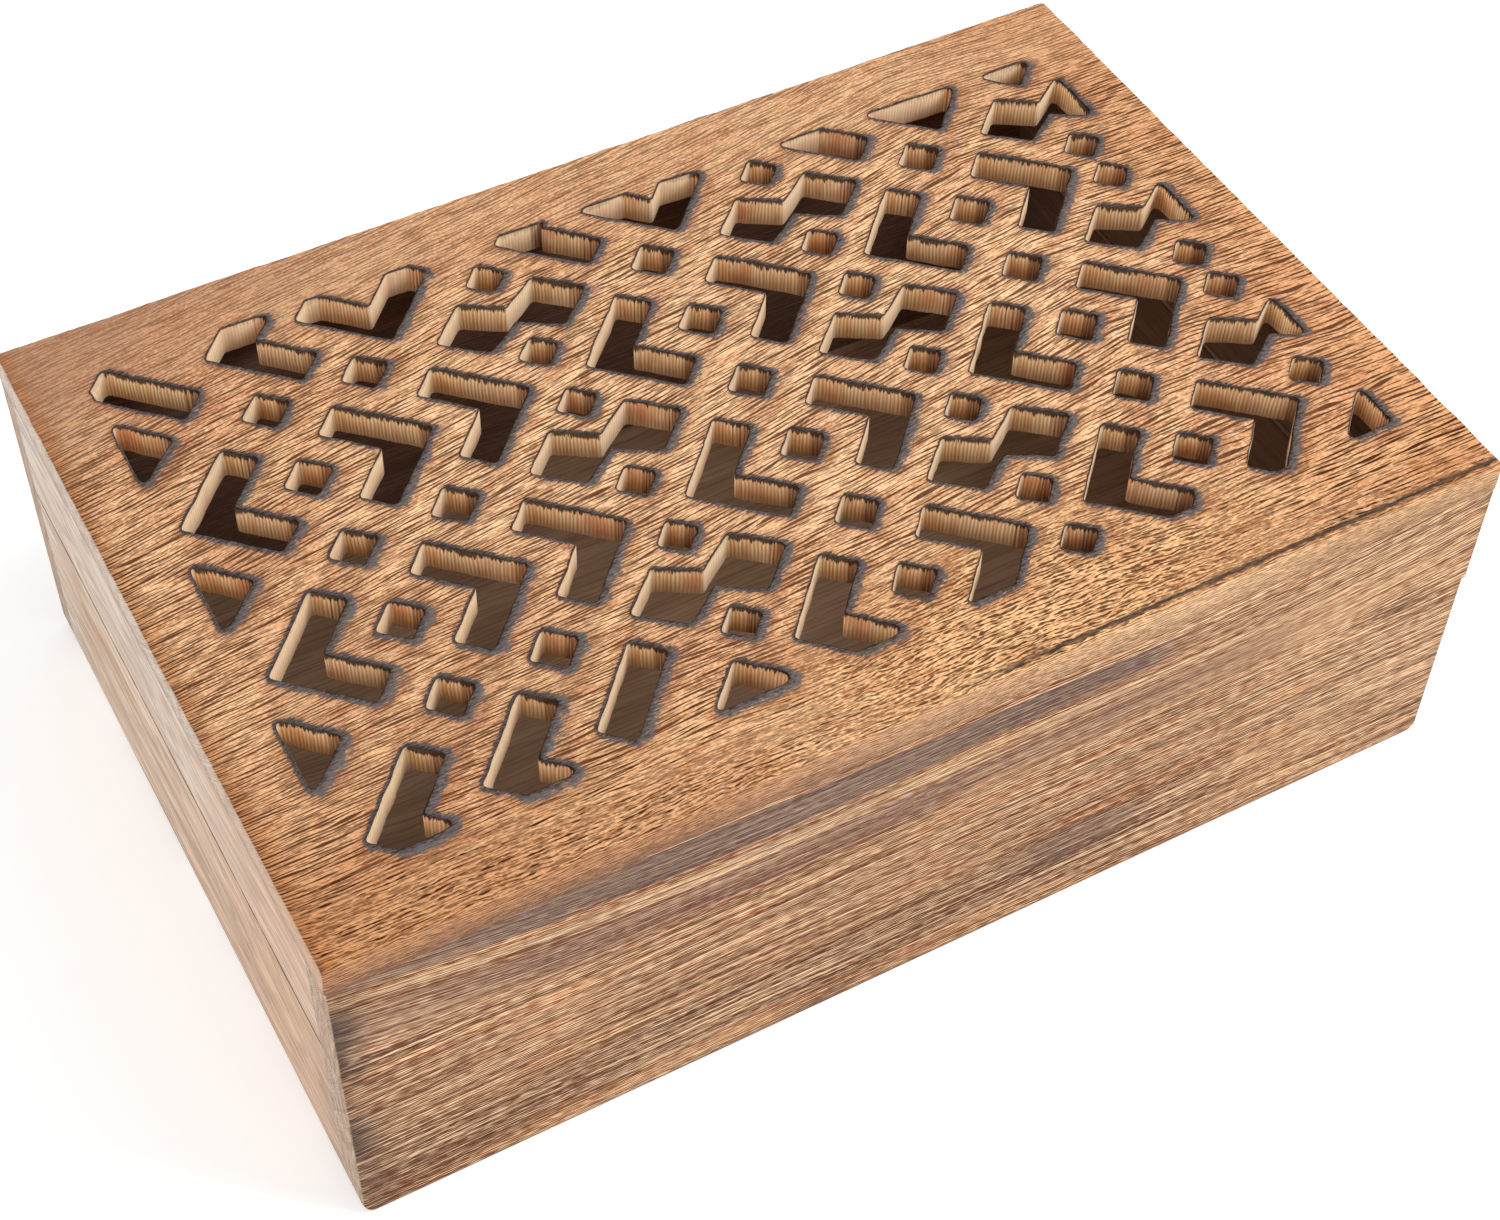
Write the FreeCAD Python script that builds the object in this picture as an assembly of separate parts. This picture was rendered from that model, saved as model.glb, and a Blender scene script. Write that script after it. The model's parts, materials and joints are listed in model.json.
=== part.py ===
import FreeCAD, Part
import math
import os

# A hinged wooden box with a pierced fretwork lid, in millimetres.
# +X runs along the length, -Y is the front, +Z is up.
# The origin is the middle of the base's underside.

# Carcass
LENGTH = 305.0            # base and lid, end to end
DEPTH = 203.0             # front face to back face
BASE_HEIGHT = 60.6        # underside up to the base's rim
SEAM_GAP = 0.2            # clearance between the rim and the closed lid
LID_HEIGHT = 40.8         # lid's lower edge up to its top face
BOARD = 10.0              # thickness of the wall boards and lid rails
PANEL = 8.5               # thickness of the fretwork panel
LID_OVERHANG = 1.0        # the lid's right end stands out past the base

# Floor panel, held in a rebate round the inside of the base
FLOOR = 5.0               # thickness, flush with the boards' lower edges
FLOOR_LIP = 3.5           # depth of the rebate that it sits in
FLOOR_PLAY = 0.2          # clearance round its edges

# Eased edges
CORNER_ROUND = 1.5        # upright corners
TOP_EASE = 1.6            # round the top face
SEAM_EASE = 0.2           # both sides of the seam
FOOT_EASE = 1.0           # underside, along the front and back
FOOT_END_ROUND = 5.5      # underside, along the two ends

# Fretwork field: where the cut-outs stop on the panel
FIELD_LEFT_MARGIN = 16.5
FIELD_RIGHT_MARGIN = 15.3
FIELD_BACK_MARGIN = 19.0
FIELD_FRONT_MARGIN = 22.5
ROW_CLIMB = 0.048         # the hand-laid rows climb to the right, per millimetre
COLUMN_LEAN = 0.022       # the columns lean to the left towards the back, per millimetre
FIELD_TAPER = 0.0236      # share of its depth that the pattern loses from the middle to the right end

# Fretwork layout: columns along X, rows from back to front
COLUMN_STEP = 40.4
ROW_STEP = 24.8
FIRST_COLUMN_OFFSET = -33.5   # first column of double lozenges, from the middle
FIRST_ROW_OFFSET = 56.5   # first row of double lozenges, from the middle
LEFT_GROUP_SHIFT = 26.2   # the leftmost group stands this far left of the column beside it
CHEVRON_REACH = 32.5      # a chevron's point, from the middle of its column
PIP_OFFSETS = (14.8, 15.5, 17.9)   # pips above and below the double lozenges, by column
BACK_BAR_SHIFT = 3.4      # the bar at the back left stands left of the chevrons in front of it
BACK_LEFT_STEP = 30.0     # from that bar to the cropped chevron beside it
BACK_LEFT_DROP = 1.8      # that chevron lies in front of its row
VEE_SHIFT = 10.9          # a vee's point stands right of its column
FRONT_CHEVRON_STEP = 28.0   # between the chevrons and bar along the front left
FRONT_WEDGE_SHIFT = 7.5   # the wedge at the front edge stands left of its column
LEFT_WEDGE_SHIFT = 2.8    # the wedges at the left edge stand behind their rows

# Fretwork cut-outs
ARM_REACH = 18.0          # a chevron's arm, point to tip, along each axis
ARM_WIDTH = 9.3
DIAMOND = 6.2             # half a diamond's diagonal
PIP = 5.4                 # half a pip's diagonal
LOZENGE_END = 20.7        # half the length of a double lozenge
LOZENGE_PEAK = 10.3       # its peaks, from the middle
LOZENGE_HALF_HEIGHT = 9.4
LOZENGE_NECK = 2.4        # half the height of its waist
LEFT_WEDGE = 11.5         # half-diagonals of the diamonds cropped to wedges at the field's edges
FRONT_WEDGE = 11.0
BACK_WEDGE = 8.3
CORNER_WEDGE = 13.5

# Butt hinges, let into the back edges of the base and lid
HINGE_LENGTH = 38.0
HINGE_INSET = 42.0        # box end to the near end of a hinge
LEAF_MARGIN = 2.5         # wood left between a leaf and the inside of the board
LEAF = 1.0                # leaf thickness
LEAF_GAP = 0.4            # between the closed leaves
MORTISE_PLAY = 0.15       # round a leaf in its mortise
KNUCKLE_RADIUS = 2.2
KNUCKLES = 5
KNUCKLE_GAP = 0.2         # between one knuckle and the next
KNUCKLE_PLAY = 0.4        # round the barrel
AXIS_PROUD = 0.5          # pin axis behind the back face
PIN_RADIUS = 1.0
PIN_FIT = 0.05            # radial clearance in the knuckles
PIN_HEAD_RADIUS = 1.6
PIN_HEAD = 0.6

# Countersunk wood screws
SCREW_RADIUS = 1.1
SCREW_HEAD_RADIUS = 2.1
SCREW_LENGTH = 10.0
SCREW_POINT = 2.5
SCREW_FIT = 0.05          # radial clearance in leaf and board
SCREW_EDGE = 7.0          # screw centre to the leaf's end
SLOT_WIDTH = 0.6
SLOT_DEPTH = 0.5

# Places worked out from the sizes above
LID_BOTTOM = BASE_HEIGHT + SEAM_GAP
TOP = LID_BOTTOM + LID_HEIGHT
PANEL_BOTTOM = TOP - PANEL
BASE_LEFT = -LENGTH / 2
BASE_RIGHT = LENGTH / 2 - LID_OVERHANG
LID_RIGHT = LENGTH / 2
FRONT = -DEPTH / 2
BACK = DEPTH / 2
AXIS_Y = BACK + AXIS_PROUD
AXIS_Z = BASE_HEIGHT + SEAM_GAP / 2
HINGE_CENTRE = LENGTH / 2 - HINGE_INSET - HINGE_LENGTH / 2
HINGES = {"left": -HINGE_CENTRE, "right": HINGE_CENTRE}
LEAF_FACE_DROP = LEAF_GAP / 2
LEAF_INNER = BACK - BOARD + LEAF_MARGIN
BARREL_CLEAR = KNUCKLE_RADIUS + KNUCKLE_PLAY
PLATE_END = AXIS_Y - BARREL_CLEAR
SCREW_Y = (LEAF_INNER + PLATE_END) / 2
FIELD_LEFT = BASE_LEFT + FIELD_LEFT_MARGIN
FIELD_RIGHT = LID_RIGHT - FIELD_RIGHT_MARGIN
FIELD_BACK = BACK - FIELD_BACK_MARGIN
FIELD_FRONT = FRONT + FIELD_FRONT_MARGIN

# Quarter turns of a chevron, by where its point faces, and the two sides of the seam
POINT_LEFT, POINT_DOWN, POINT_RIGHT = 0, 1, 2
IN_BASE, IN_LID = -1, 1


def vec(x, y, z):
    return FreeCAD.Vector(x, y, z)


def box(x0, x1, y0, y1, z0, z1):
    return Part.makeBox(x1 - x0, y1 - y0, z1 - z0, vec(x0, y0, z0))


def rounded_face(u0, u1, v0, v1, radii, place):
    """A rectangle with its own radius at each corner, drawn on the plane that place() gives."""
    bend = 1 - math.sqrt(0.5)
    corners = ((u0, v0, 1, 1), (u1, v0, -1, 1), (u1, v1, -1, -1), (u0, v1, 1, -1))
    ends = []
    for (u, v, du, dv), r in zip(corners, radii):
        on_v = place(u, v + dv * r)
        middle = place(u + du * r * bend, v + dv * r * bend)
        on_u = place(u + du * r, v)
        ends.append((on_v, middle, on_u) if du == dv else (on_u, middle, on_v))
    edges = []
    for here, ahead in zip(ends, ends[1:] + ends[:1]):
        edges.append(Part.Arc(*here).toShape())
        edges.append(Part.makeLine(here[2], ahead[0]))
    return Part.Face(Part.Wire(edges))


def eased_block(x0, x1, z0, z1, foot_end, foot_side, top):
    """A block over the box's whole depth with rounded upright corners and eased edges."""
    side = rounded_face(x0, x1, z0, z1, (foot_end, foot_end, top, top), lambda u, v: vec(u, FRONT, v))
    end = rounded_face(FRONT, BACK, z0, z1, (foot_side, foot_side, top, top), lambda u, v: vec(x0, u, v))
    plan = rounded_face(x0, x1, FRONT, BACK, (CORNER_ROUND,) * 4, lambda u, v: vec(u, v, z0))
    block = side.extrude(vec(0, DEPTH, 0))
    block = block.common(end.extrude(vec(x1 - x0, 0, 0)))
    return block.common(plan.extrude(vec(0, 0, z1 - z0)))


def wall_boxes(x0, x1, z0, z1):
    """Front and back boards run the full length and cap the two end boards."""
    return {
        "front": box(x0, x1, FRONT, FRONT + BOARD, z0, z1),
        "back": box(x0, x1, BACK - BOARD, BACK, z0, z1),
        "left": box(x0, x0 + BOARD, FRONT + BOARD, BACK - BOARD, z0, z1),
        "right": box(x1 - BOARD, x1, FRONT + BOARD, BACK - BOARD, z0, z1),
    }


# Fretwork

def panel_point(u, v):
    """Layout point to panel point: the rows climb a little and draw together to the right."""
    x = u - COLUMN_LEAN * v
    y = v + ROW_CLIMB * u
    return tapered_point(x, y)


def tapered_point(x, y):
    return vec(x, y * (1 - FIELD_TAPER * x / LID_RIGHT), PANEL_BOTTOM)


def prism(points):
    face = Part.Face(Part.makePolygon(points + points[:1]))
    return face.extrude(vec(0, 0, PANEL))


def laid_out(outline, u, v, turn=0):
    """An outline turned by quarter turns and set down at a layout point."""
    angle = math.radians(90 * turn)
    ca = math.cos(angle)
    sa = math.sin(angle)
    return prism([panel_point(u + a * ca - b * sa, v + a * sa + b * ca) for a, b in outline])


def chevron_outline():
    """A bent slot with its point at the origin and its arms opening to the right."""
    w = ARM_WIDTH * math.sqrt(0.5)
    s = ARM_REACH
    return [(0, 0), (s, -s), (s + w, w - s), (2 * w, 0), (s + w, s - w), (s, s)]


def rising_bar_outline():
    """A chevron's back arm by itself."""
    w = ARM_WIDTH * math.sqrt(0.5)
    s = ARM_REACH
    return [(0, 0), (w, -w), (s + w, s - w), (s, s)]


def falling_bar_outline():
    """A chevron's front arm by itself."""
    return [(a, -b) for a, b in reversed(rising_bar_outline())]


def diamond_outline(half):
    return [(-half, 0), (0, -half), (half, 0), (0, half)]


def double_lozenge_outline():
    e, p, h, n = LOZENGE_END, LOZENGE_PEAK, LOZENGE_HALF_HEIGHT, LOZENGE_NECK
    return [(-e, 0), (-p, -h), (0, -n), (p, -h), (e, 0), (p, h), (0, n), (-p, h)]


def column(index):
    return FIRST_COLUMN_OFFSET + index * COLUMN_STEP


def row(index):
    return FIRST_ROW_OFFSET - index * ROW_STEP


def column_at(u, y):
    """Where a layout column meets a line across the panel at y."""
    return u - COLUMN_LEAN * y


def row_at(v, x):
    """Where a layout row meets a line across the panel at x."""
    return v + ROW_CLIMB * x


def field_prism():
    """The part of the panel that cut-outs may reach: past its edges they are cropped."""
    corners = (
        (FIELD_LEFT, FIELD_FRONT),
        (FIELD_RIGHT, FIELD_FRONT),
        (FIELD_RIGHT, FIELD_BACK),
        (FIELD_LEFT, FIELD_BACK),
    )
    return prism([tapered_point(x, y) for x, y in corners])


def edge_wedge(x, y, half):
    """A diamond centred on the field's edge, of which the field keeps a wedge."""
    centre = tapered_point(x, y)
    return prism([centre + vec(a, b, 0) for a, b in diamond_outline(half)])


def fretwork():
    chevron = chevron_outline()
    diamond = diamond_outline(DIAMOND)
    pip = diamond_outline(PIP)
    lozenge = double_lozenge_outline()
    cuts = []
    # Columns of double lozenges, each with a pip above and below it, but for the back right corner,
    # and the start of one more row
    for index, offset in zip((0, 2, 4), PIP_OFFSETS):
        for line in (0, 2, 4):
            cuts.append(laid_out(lozenge, column(index), row(line)))
            if (index, line) != (4, 0):
                cuts.append(laid_out(pip, column(index), row(line) + offset))
            cuts.append(laid_out(pip, column(index), row(line) - offset))
    cuts.append(laid_out(pip, column(2), row(6) + PIP_OFFSETS[1]))
    # Columns of diamonds between facing chevrons
    for index in (1, 3):
        for line in range(6):
            cuts.append(laid_out(diamond, column(index), row(line)))
        for line in (-1, 1, 3, 5):
            cuts.append(laid_out(chevron, column(index) - CHEVRON_REACH, row(line), POINT_LEFT))
        for line in (1, 3, 5):
            cuts.append(laid_out(chevron, column(index) + CHEVRON_REACH, row(line), POINT_RIGHT))
    # The column left of them keeps only its right-hand chevrons
    for line in (0, 2, 4):
        cuts.append(laid_out(diamond, column(-1), row(line)))
    for line in (1, 3):
        cuts.append(laid_out(chevron, column(-1) + CHEVRON_REACH, row(line), POINT_RIGHT))
    # Leftmost group
    group = column(-1) - LEFT_GROUP_SHIFT
    for line in range(5):
        cuts.append(laid_out(diamond, group, row(line)))
    for line in (1, 3, 5):
        cuts.append(laid_out(chevron, group - CHEVRON_REACH, row(line), POINT_LEFT))
    for line in (1, 3):
        cuts.append(laid_out(chevron, group + CHEVRON_REACH, row(line), POINT_RIGHT))
    # Along the back edge
    bar_at = group - CHEVRON_REACH - BACK_BAR_SHIFT
    cuts.append(laid_out(falling_bar_outline(), bar_at, row(-1)))
    cuts.append(laid_out(chevron, bar_at + BACK_LEFT_STEP, row(-1) - BACK_LEFT_DROP, POINT_LEFT))
    for index in (-1, 1, 3):
        cuts.append(laid_out(chevron, column(index) + VEE_SHIFT, row(-1) - ARM_REACH, POINT_DOWN))
    cuts.append(edge_wedge(column_at(column(4), FIELD_BACK), FIELD_BACK, BACK_WEDGE))
    # Along the front edge
    cuts.append(laid_out(chevron, group - CHEVRON_REACH + FRONT_CHEVRON_STEP, row(5), POINT_LEFT))
    cuts.append(laid_out(rising_bar_outline(), group - CHEVRON_REACH + 2 * FRONT_CHEVRON_STEP, row(5)))
    wedge_column = column_at(column(0) - FRONT_WEDGE_SHIFT, FIELD_FRONT)
    cuts.append(edge_wedge(wedge_column, FIELD_FRONT, FRONT_WEDGE))
    cuts.append(edge_wedge(FIELD_RIGHT, FIELD_FRONT, CORNER_WEDGE))
    # Along the left edge
    for line in (0, 2, 4):
        wedge_row = row_at(row(line) + LEFT_WEDGE_SHIFT, FIELD_LEFT)
        cuts.append(edge_wedge(FIELD_LEFT, wedge_row, LEFT_WEDGE))
    field = field_prism()
    cropped = [cut.common(field) for cut in cuts]
    return [cut for cut in cropped if cut.Solids]


# Hinges

def hinge_mortise(centre, side):
    """Room for a leaf and the barrel in the edge of a back board."""
    half = HINGE_LENGTH / 2
    leaf_half = half + MORTISE_PLAY
    barrel_half = half + PIN_HEAD + KNUCKLE_PLAY
    leaf_far = AXIS_Z + side * (LEAF_FACE_DROP + LEAF)
    barrel_far = AXIS_Z + side * BARREL_CLEAR
    inner = LEAF_INNER - MORTISE_PLAY
    leaf_z = sorted((AXIS_Z, leaf_far))
    barrel_z = sorted((AXIS_Z, barrel_far))
    leaf_room = box(centre - leaf_half, centre + leaf_half, inner, AXIS_Y, *leaf_z)
    barrel_room = box(centre - barrel_half, centre + barrel_half, PLATE_END, AXIS_Y, *barrel_z)
    return leaf_room.fuse(barrel_room)


def screw_places(centre):
    reach = HINGE_LENGTH / 2 - SCREW_EDGE
    return (centre - reach, centre + reach)


def screw_solid(x, side, grow):
    """A screw, or with grow the hole for it, its head flush with the leaf's face."""
    head = SCREW_HEAD_RADIUS + grow
    shank = SCREW_RADIUS + grow
    length = SCREW_LENGTH + grow
    z0 = AXIS_Z + side * LEAF_FACE_DROP
    profile = ((0, 0), (head, 0), (shank, LEAF), (shank, length - SCREW_POINT), (0, length))
    points = [vec(x + r, SCREW_Y, z0 + side * d) for r, d in profile]
    face = Part.Face(Part.makePolygon(points + points[:1]))
    return face.revolve(vec(x, SCREW_Y, z0), vec(0, 0, 1), 360)


def screw(x, side):
    z0 = AXIS_Z + side * LEAF_FACE_DROP
    z1 = z0 + side * SLOT_DEPTH
    half = SLOT_WIDTH / 2
    slot_z = sorted((z0, z1))
    slot = box(x - SCREW_HEAD_RADIUS, x + SCREW_HEAD_RADIUS, SCREW_Y - half, SCREW_Y + half, *slot_z)
    return screw_solid(x, side, 0).cut(slot)


def barrel(x0, x1, radius):
    return Part.makeCylinder(radius, x1 - x0, vec(x0, AXIS_Y, AXIS_Z), vec(1, 0, 0))


def hinge_leaf(centre, side):
    """A leaf with its share of the knuckles: the base leaf has the outer ones."""
    x0 = centre - HINGE_LENGTH / 2
    x1 = centre + HINGE_LENGTH / 2
    z_face = AXIS_Z + side * LEAF_FACE_DROP
    leaf_z = sorted((z_face, z_face + side * LEAF))
    leaf = box(x0, x1, LEAF_INNER, PLATE_END, *leaf_z)
    pitch = HINGE_LENGTH / KNUCKLES
    first = 0 if side == IN_BASE else 1
    for index in range(first, KNUCKLES, 2):
        k0 = x0 + index * pitch + (KNUCKLE_GAP / 2 if index > 0 else 0)
        k1 = x0 + (index + 1) * pitch - (KNUCKLE_GAP / 2 if index < KNUCKLES - 1 else 0)
        tongue = box(k0, k1, PLATE_END, AXIS_Y, *leaf_z)
        leaf = leaf.fuse(tongue).fuse(barrel(k0, k1, KNUCKLE_RADIUS))
    leaf = leaf.cut(barrel(x0, x1, PIN_RADIUS + PIN_FIT))
    for x in screw_places(centre):
        leaf = leaf.cut(screw_solid(x, side, SCREW_FIT))
    return leaf.removeSplitter()


def hinge_pin(centre):
    """A plain pin with a flat head at each end of the barrel."""
    x0 = centre - HINGE_LENGTH / 2
    x1 = centre + HINGE_LENGTH / 2
    pin = barrel(x0, x1, PIN_RADIUS)
    pin = pin.fuse(barrel(x0 - PIN_HEAD, x0, PIN_HEAD_RADIUS))
    return pin.fuse(barrel(x1, x1 + PIN_HEAD, PIN_HEAD_RADIUS)).removeSplitter()


def cut_for_hinges(board, side):
    for centre in HINGES.values():
        board = board.cut(hinge_mortise(centre, side))
        for x in screw_places(centre):
            board = board.cut(screw_solid(x, side, SCREW_FIT))
    return board


# Assembly

def base_nodes():
    block = eased_block(BASE_LEFT, BASE_RIGHT, 0, BASE_HEIGHT, FOOT_END_ROUND, FOOT_EASE, SEAM_EASE)
    reach = BOARD - FLOOR_LIP
    seat = box(BASE_LEFT + reach, BASE_RIGHT - reach, FRONT + reach, BACK - reach, 0, FLOOR)
    nodes = {}
    for name, wall in wall_boxes(BASE_LEFT, BASE_RIGHT, 0, BASE_HEIGHT).items():
        nodes["base_" + name + "_board"] = wall.common(block).cut(seat)
    nodes["base_back_board"] = cut_for_hinges(nodes["base_back_board"], IN_BASE)
    edge = reach + FLOOR_PLAY
    nodes["floor_panel"] = box(BASE_LEFT + edge, BASE_RIGHT - edge, FRONT + edge, BACK - edge, 0, FLOOR)
    return nodes


def lid_nodes():
    block = eased_block(BASE_LEFT, LID_RIGHT, LID_BOTTOM, TOP, SEAM_EASE, SEAM_EASE, TOP_EASE)
    nodes = {}
    for name, wall in wall_boxes(BASE_LEFT, LID_RIGHT, LID_BOTTOM, PANEL_BOTTOM).items():
        nodes["lid_" + name + "_rail"] = wall.common(block)
    nodes["lid_back_rail"] = cut_for_hinges(nodes["lid_back_rail"], IN_LID)
    panel = box(BASE_LEFT, LID_RIGHT, FRONT, BACK, PANEL_BOTTOM, TOP).common(block)
    nodes["lid_fretwork_panel"] = panel.cut(fretwork())
    return nodes


def hinge_nodes():
    nodes = {}
    for name, centre in HINGES.items():
        nodes["hinge_" + name + "_base_leaf"] = hinge_leaf(centre, IN_BASE)
        nodes["hinge_" + name + "_lid_leaf"] = hinge_leaf(centre, IN_LID)
        nodes["hinge_" + name + "_pin"] = hinge_pin(centre)
    for name, side in (("base", IN_BASE), ("lid", IN_LID)):
        screws = [screw(x, side) for centre in HINGES.values() for x in screw_places(centre)]
        nodes[name + "_hinge_screws"] = Part.makeCompound(screws)
    return nodes


def main():
    os.makedirs("parts", exist_ok=True)
    for nodes in (base_nodes(), lid_nodes(), hinge_nodes()):
        for name, shape in nodes.items():
            shape.exportStep(os.path.join("parts", name + ".step"))
            print(name, len(shape.Solids), "solids", round(shape.Volume, 1), "mm3", shape.isValid())


main()
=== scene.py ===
import json
import math

import bpy
import numpy as np
from mathutils import Matrix, Vector, geometry, kdtree, noise


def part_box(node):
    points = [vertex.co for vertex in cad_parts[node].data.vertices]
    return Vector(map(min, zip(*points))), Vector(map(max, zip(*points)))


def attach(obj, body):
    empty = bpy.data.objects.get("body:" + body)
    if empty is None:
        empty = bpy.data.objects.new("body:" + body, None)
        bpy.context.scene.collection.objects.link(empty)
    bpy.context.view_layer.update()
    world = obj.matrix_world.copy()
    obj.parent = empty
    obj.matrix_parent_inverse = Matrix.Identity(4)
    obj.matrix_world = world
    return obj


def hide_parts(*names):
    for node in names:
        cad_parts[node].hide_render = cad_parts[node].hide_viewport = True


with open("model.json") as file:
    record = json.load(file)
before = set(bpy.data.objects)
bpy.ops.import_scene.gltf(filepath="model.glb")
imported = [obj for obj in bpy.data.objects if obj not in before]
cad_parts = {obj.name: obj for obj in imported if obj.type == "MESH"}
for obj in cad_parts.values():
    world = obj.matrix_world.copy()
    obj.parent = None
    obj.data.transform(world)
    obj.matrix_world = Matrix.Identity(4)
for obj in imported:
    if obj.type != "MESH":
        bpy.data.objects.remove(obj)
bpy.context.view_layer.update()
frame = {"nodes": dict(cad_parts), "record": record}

# A hinged wooden box with a pierced, burnt and brushed lid. Meshes are worked out in millimetres.
MM = 0.001
nodes = frame["nodes"]

# Camera
CAMERA_AT = (-0.2282, -0.4018, 0.5669)
CAMERA_RIGHT = (0.87584, -0.48226, 0.01805)
CAMERA_UP = (0.35636, 0.67151, 0.64968)
CAMERA_LENS = 65.04
SENSOR_WIDTH = 36.0
CLIP_START = 0.01

# Light and floor
WORLD_LEVEL = 0.65        # the world as a light; as a background it is white
LAMPS = {                 # place, size, power
    "key": ((0.9, -0.55, 1.2), 0.9, 18.0),
    "fill": ((-1.3, -0.2, 0.6), 0.8, 6.0),
}
FLOOR_HALF = 6.0          # half the floor's side
FLOOR_GREY = 0.9
FLOOR_GLOW = 0.3          # brings the floor up to white for the camera, and keeps the shadow

# Reading the CAD panel's outlines
LEVEL = 2e-5              # metres; faces this close to the top's height belong to it
KEYS_PER_METRE = 1e5      # points are matched to a hundredth of a millimetre
KEYS_PER_MM = 100
NICK = 2.5                # corners closer together than this were sawn straight across
SHORTEST = 0.5            # of two corners closer than this one is kept
STRAIGHT = 0.06           # turns smaller than this are no corner

# Sawn and burnt cut-outs
CUT_STEP = 0.55           # between points along a cut-out's edge
CUT_CORNER = 1.3          # rounding of its square corners
SIDE_SHARE = 0.45         # the most of a side that one corner's rounding takes
SAWN_BITE = 1.15          # sharper corners are rounder by this power of their bite
BURNT_BITE = 1.7          # and by this one where they are burnt
SAW_WANDER = 0.3          # how far the saw strayed, and over what length
SAW_WANDER_LENGTH = 6.0
SAW_CHATTER = 0.08        # and how far it shook
SAW_CHATTER_LENGTH = 1.1
SAW_CHATTER_LAYER = 5.0   # layer of the noise that it is drawn from
RIM_PROFILE = ((0.55, 0.0), (0.28, 0.08), (0.1, 0.26), (0.0, 0.6))   # outwards, downwards
FOOT_PROFILE = ((0.0, 0.35), (0.3, 0.0))                            # outwards, above the underside
CHAR_SIDE = (0.64, -0.77)     # the side of a cut-out with the widest char
CHAR_LEAST = 0.4              # width of the char on the opposite side
CHAR_MORE = 2.0               # how much wider it is on that side
CHAR_FALL = 1.3               # how fast it narrows from the one to the other
HOT_SIDE = (0.95, -0.3)       # corners on this side are burnt deepest
HOT_TURN = 0.8                # how far a corner has to point to that side to be burnt round
HOT_FACING = 0.5              # how squarely it has to face that side to be scorched inside

# Points on the wood between the cut-outs
RIM_RINGS = (1.1, 2.0, 3.2)   # rings of points round a cut-out, by distance
RIM_FAR = 30.0                # stands for having no rim or burnt corner near by
RIM_CLEAR = 0.93              # share of its ring's distance that a point keeps from every rim
POINT_CELL = 0.7              # one point to a square of this side
GRID_STEP = 6.0               # plain grid over the rest of the wood
GRID_MARGIN = 2.0             # from the panel's outside
GRID_CLEAR = RIM_RINGS[-1] + 1   # from every rim

# The panel's outside
EDGE_STEP = 1.5           # between points along it
EDGE_CORNER = 2.2         # rounding of its corners at the top
CRISP = 0.85              # how square they are below the worn arris
EDGE_EASE = 1.35          # worn top arris
EDGE_WEAR = ((0.35, 9.0, 2.0), (0.3, 2.6, 4.0))   # its unevenness: share, length, layer of noise
EDGE_LEAST = 0.6          # least wear
EDGE_CLEAR = 0.4          # the wear stays this much smaller than the rounding of the corners
EDGE_ARC = 5              # faces round the arris and round a corner

# Grain
ROUND_EDGE = 1.37         # lets the grain run on round a long edge from one face to the next
SEAM = 60.7               # height of the seam between base and lid
PALE_BANDS = ((-1.0, 3.0), (-11.0, 4.5), (-21.0, 3.0))   # on the front: above the seam, half width
FRONT = 101.5             # front face, from the middle
END = 152.5               # end faces, from the middle
FRONT_ARRIS = 99.3        # sooty line along the top's front edge, from the middle
SCORCHED = (-152, 101)    # the top's back left corner
GOLDEN = ((28, -86), (85, 30))    # patches on the top: middle, half size
# the next is a painted pool of light over the middle of the top, not a patch of the wood: middle, half size
LIT_MIDDLE = ((10, 8), (145, 70))
SMOKY = ((40, -38), (24, 9))      # and one on the front, from the seam
WANDER_STRIDE = 3.17      # steps through the noise from one furrow to the next
BREAK_STRIDE = 7.31
MATT = 0.06               # specular level of the oiled wood


def noise_at(x, y, size, layer=0.0):
    return noise.noise(Vector((x / size, y / size, layer)))


# Outlines

def flat_loops(obj, height):
    """Closed loops, in millimetres, round the flat face of a mesh at a height in metres."""
    mesh = obj.data
    mesh.calc_loop_triangles()
    directed = {}
    for triangle in mesh.loop_triangles:
        corners = [mesh.vertices[i].co for i in triangle.vertices]
        if all(abs(c.z - height) < LEVEL for c in corners):
            keys = [(round(c.x * KEYS_PER_METRE), round(c.y * KEYS_PER_METRE)) for c in corners]
            for a, b in zip(keys, keys[1:] + keys[:1]):
                directed[(a, b)] = True
    ahead = {a: b for a, b in directed if (b, a) not in directed}
    loops = []
    while ahead:
        here = next(iter(ahead))
        loop = []
        while here in ahead:
            loop.append((here[0] / KEYS_PER_MM, here[1] / KEYS_PER_MM))
            here = ahead.pop(here)
        loops.append(np.array(loop))
    return loops


def signed_area(loop):
    x, y = loop.T
    return 0.5 * float(np.sum(x * np.roll(y, -1) - np.roll(x, -1) * y))


def corners_only(loop):
    """The loop without the tips of nicks and points that lie on a straight run."""
    reach = np.linalg.norm(np.roll(loop, -1, 0) - loop, axis=1)
    loop = loop[(np.maximum(reach, np.roll(reach, 1)) > NICK) & (reach > SHORTEST)]
    ahead = np.roll(loop, -1, 0) - loop
    behind = loop - np.roll(loop, 1, 0)
    turn = behind[:, 0] * ahead[:, 1] - behind[:, 1] * ahead[:, 0]
    size = np.linalg.norm(ahead, axis=1) * np.linalg.norm(behind, axis=1)
    return loop[np.abs(turn) > STRAIGHT * size]


def run(a, b, step):
    """Points from a up to but not including b."""
    count = max(1, round(float(np.linalg.norm(b - a)) / step))
    return [a + (b - a) * i / count for i in range(count)]


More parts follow.
